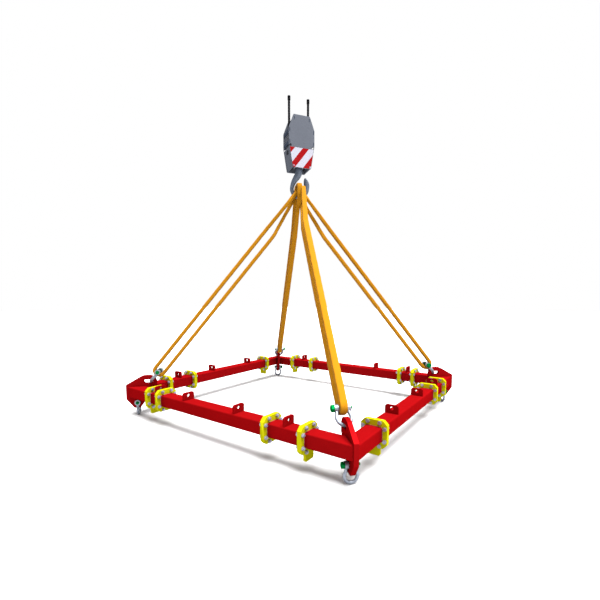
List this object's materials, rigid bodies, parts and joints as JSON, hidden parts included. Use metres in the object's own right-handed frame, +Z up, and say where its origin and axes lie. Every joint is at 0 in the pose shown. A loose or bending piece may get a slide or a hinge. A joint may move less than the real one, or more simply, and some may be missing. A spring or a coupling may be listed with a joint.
{
  "type": "spreader beam",
  "caption": "Modular rectangular lifting spreader frame of bolted red box beams, hung by round slings from a hook block on a wire rope",
  "frame": {"origin": "midway between the upper ends of the two rope falls, on the axis that the rig hangs about", "axes": "+Z up along the hanging axis, +X along the frame's long side, the front side towards -Y"},
  "size_m": [3.135, 2.895, 3.744],
  "materials": {
    "red_paint": "glossy signal red paint",
    "yellow_paint": "glossy zinc yellow paint",
    "zinc_fastener": "bright zinc plate",
    "sling_webbing": "woven orange polyester sleeve",
    "galvanised_steel": "galvanised",
    "green_paint": "satin green paint",
    "hook_paint": "satin blue grey paint on a forging",
    "block_paint": "satin grey paint",
    "hazard_paint": "white with diagonal red bands",
    "wire_rope": "greased black wire rope",
    "bare_steel": "machined and oiled"
  },
  "bodies": {
    "block": {"cheek_front": "block_paint", "cheek_rear": "block_paint", "hazard_panels": "hazard_paint", "panel_bolts": "zinc_fastener", "tie_bars": "block_paint", "side_webs": "block_paint", "axle": "bare_steel", "axle_spacers": "bare_steel", "rope": "wire_rope", "rope_ferrules": "wire_rope"},
    "sheave": {"sheave": "bare_steel", "sheave_bearing": "bare_steel"},
    "crosshead": {"crosshead": "bare_steel", "thrust_bearing": "bare_steel"},
    "rig": {"beam_flange_plates": "yellow_paint", "corner_flange_plates": "yellow_paint", "corner_front_left_arms": "red_paint", "corner_front_left_plate": "red_paint", "corner_front_right_arms": "red_paint", "corner_front_right_plate": "red_paint", "corner_rear_left_arms": "red_paint", "corner_rear_left_plate": "red_paint", "corner_rear_right_arms": "red_paint", "corner_rear_right_plate": "red_paint", "flange_bolts": "zinc_fastener", "flange_nuts": "zinc_fastener", "front_beam": "red_paint", "front_beam_lugs": "red_paint", "front_spacer_long": "red_paint", "front_spacer_short": "red_paint", "hook": "hook_paint", "hook_nut": "hook_paint", "left_beam": "red_paint", "left_beam_lugs": "red_paint", "left_spacer": "red_paint", "rear_beam": "red_paint", "rear_beam_lugs": "red_paint", "rear_spacer_long": "red_paint", "rear_spacer_short": "red_paint", "right_beam": "red_paint", "right_beam_lugs": "red_paint", "right_spacer": "red_paint", "sling_front_left": "sling_webbing", "sling_front_right": "sling_webbing", "sling_rear_left": "sling_webbing", "sling_rear_right": "sling_webbing", "spacer_lugs": "red_paint", "top_shackle_bows": "galvanised_steel", "top_shackle_nuts": "green_paint", "top_shackle_pins": "green_paint"},
    "load_shackle_front_left": {"load_bow_front_left": "galvanised_steel", "load_pin_front_left": "green_paint"},
    "load_shackle_front_right": {"load_bow_front_right": "galvanised_steel", "load_pin_front_right": "green_paint"},
    "load_shackle_rear_right": {"load_bow_rear_right": "galvanised_steel", "load_pin_rear_right": "green_paint"},
    "load_shackle_rear_left": {"load_bow_rear_left": "galvanised_steel", "load_pin_rear_left": "green_paint"}
  },
  "joints": [
    {"name": "sheave_spin", "type": "hinge", "parent": "block", "child": "sheave", "pos_m": [0, 0, -0.48], "axis": [-0.8241, 0.5664, 0], "continuous": true},
    {"name": "crosshead_tilt", "type": "hinge", "parent": "block", "child": "crosshead", "pos_m": [0, 0, -0.752], "axis": [-0.8241, 0.5664, 0], "range_deg": [-10, 10]},
    {"name": "hook_swivel", "type": "hinge", "parent": "crosshead", "child": "rig", "pos_m": [0, 0, -0.752], "axis": [0, 0, 1], "continuous": true},
    {"name": "load_swing_front_left", "type": "hinge", "parent": "rig", "child": "load_shackle_front_left", "pos_m": [-1.43515, -1.31515, -3.59], "axis": [0.7071, -0.7071, 0], "range_deg": [-80, 80]},
    {"name": "load_swing_front_right", "type": "hinge", "parent": "rig", "child": "load_shackle_front_right", "pos_m": [1.43515, -1.31515, -3.59], "axis": [0.7071, 0.7071, 0], "range_deg": [-80, 80]},
    {"name": "load_swing_rear_right", "type": "hinge", "parent": "rig", "child": "load_shackle_rear_right", "pos_m": [1.43515, 1.31515, -3.59], "axis": [0.7071, -0.7071, 0], "range_deg": [-80, 80]},
    {"name": "load_swing_rear_left", "type": "hinge", "parent": "rig", "child": "load_shackle_rear_left", "pos_m": [-1.43515, 1.31515, -3.59], "axis": [0.7071, 0.7071, 0], "range_deg": [-80, 80]}
  ]
}
